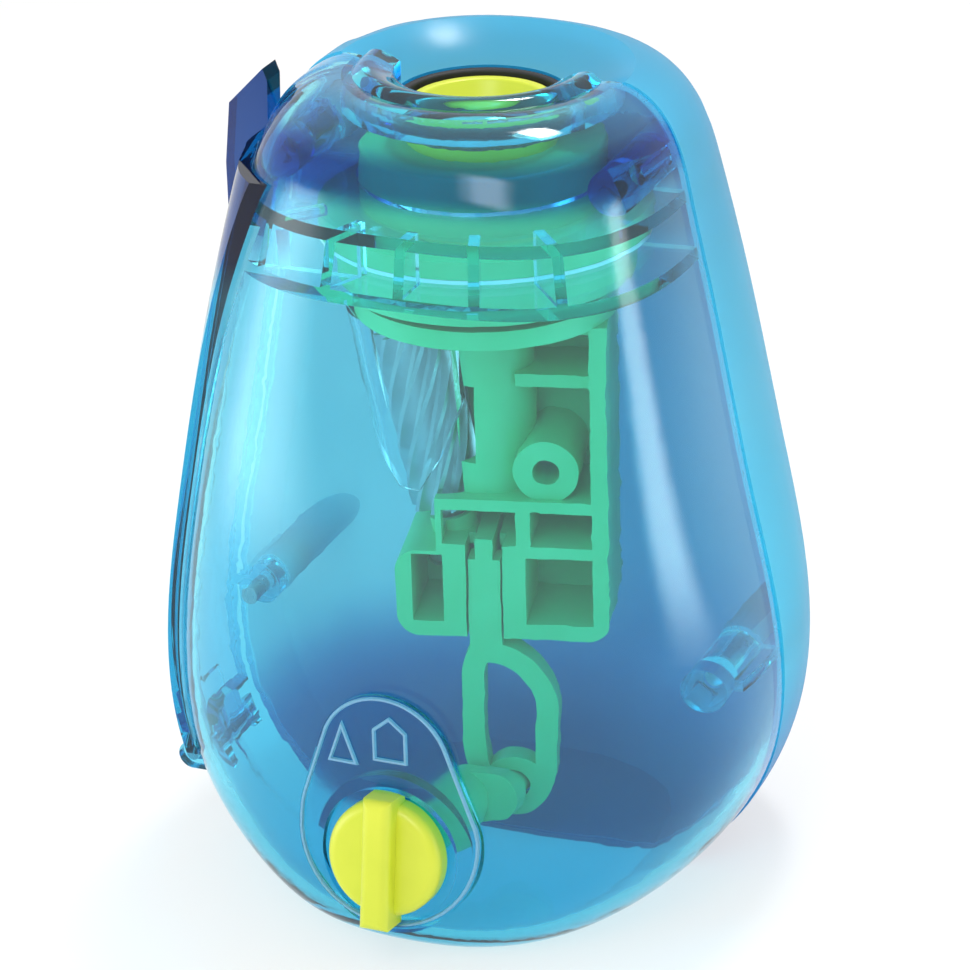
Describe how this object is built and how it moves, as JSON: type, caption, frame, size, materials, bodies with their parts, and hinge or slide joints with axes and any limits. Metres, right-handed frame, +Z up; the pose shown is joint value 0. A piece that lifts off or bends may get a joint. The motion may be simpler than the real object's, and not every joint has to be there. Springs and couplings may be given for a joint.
{
  "type": "twist pencil sharpener",
  "caption": "Hand-held twist pencil sharpener: clear and milky pear-shaped case, pencil port on top, geared helical cutter in a frame, and a knob that sets a sharp or blunt point.",
  "frame": {"origin": "middle of the base on the pencil's axis, in the parting plane of the case", "axes": "+Z up along the pencil bore, front with the knob towards -Y, +X to the right seen from the front"},
  "size_m": [0.0847, 0.082, 0.1136],
  "materials": {
    "clear_case": "clear tinted, polished",
    "milky_case": "milky translucent, polished",
    "lime_plastic": "glossy",
    "green_plastic": "satin, slightly translucent",
    "clear_guard": "clear, polished",
    "black_rubber": "matte",
    "acetal": "satin",
    "bronze": "sintered",
    "steel": "plated",
    "cutter_steel": "ground"
  },
  "bodies": {
    "case": {"front_shell": "clear_case", "back_shell": "milky_case", "shell_screws": "steel", "frame_screws": "steel", "cutter_frame": "green_plastic", "cutter_guard": "clear_guard", "port_seal": "black_rubber", "rotor_washer": "acetal", "upper_bush": "bronze", "lower_bush": "bronze", "door_pin": "steel"},
    "rotor": {"pencil_port": "lime_plastic", "pencil_grip": "black_rubber", "ring_gear": "green_plastic"},
    "cutter": {"helical_cutter": "cutter_steel", "cutter_shaft": "steel", "cutter_pinion": "acetal", "shaft_clip": "steel"},
    "selector": {"selector_knob": "lime_plastic", "selector_crank": "green_plastic", "crank_screw": "steel", "knob_friction_ring": "black_rubber"},
    "stop": {"stop_slider": "green_plastic"},
    "door": {"shavings_door": "clear_case"}
  },
  "joints": [
    {"name": "rotor_spin", "type": "hinge", "parent": "case", "child": "rotor", "pos_m": [0, 0, 0.095], "axis": [0, 0, 1], "continuous": true},
    {"name": "cutter_spin", "type": "hinge", "parent": "case", "child": "cutter", "pos_m": [-0.007, -0.00327, 0.06387], "axis": [-0.1574, -0.0734, 0.9848], "continuous": true},
    {"name": "knob_turn", "type": "hinge", "parent": "case", "child": "selector", "pos_m": [0, -0.0105, 0.0122], "axis": [0, -0.9877, 0.1564], "range_deg": [-24, 0]},
    {"name": "stop_slide", "type": "slide", "parent": "case", "child": "stop", "axis": [0, 0, 1], "range_m": [-0.0021, 0]},
    {"name": "door_hinge", "type": "hinge", "parent": "case", "child": "door", "pos_m": [-0.03867, -0.01, 0.0145], "axis": [0, -1, 0], "range_deg": [0, 75]}
  ],
  "couplings": [
    {"joint": "cutter_spin", "follows": "rotor_spin", "ratio": 3.3333},
    {"joint": "knob_turn", "follows": "stop_slide", "rad_per_m": 198.99}
  ]
}
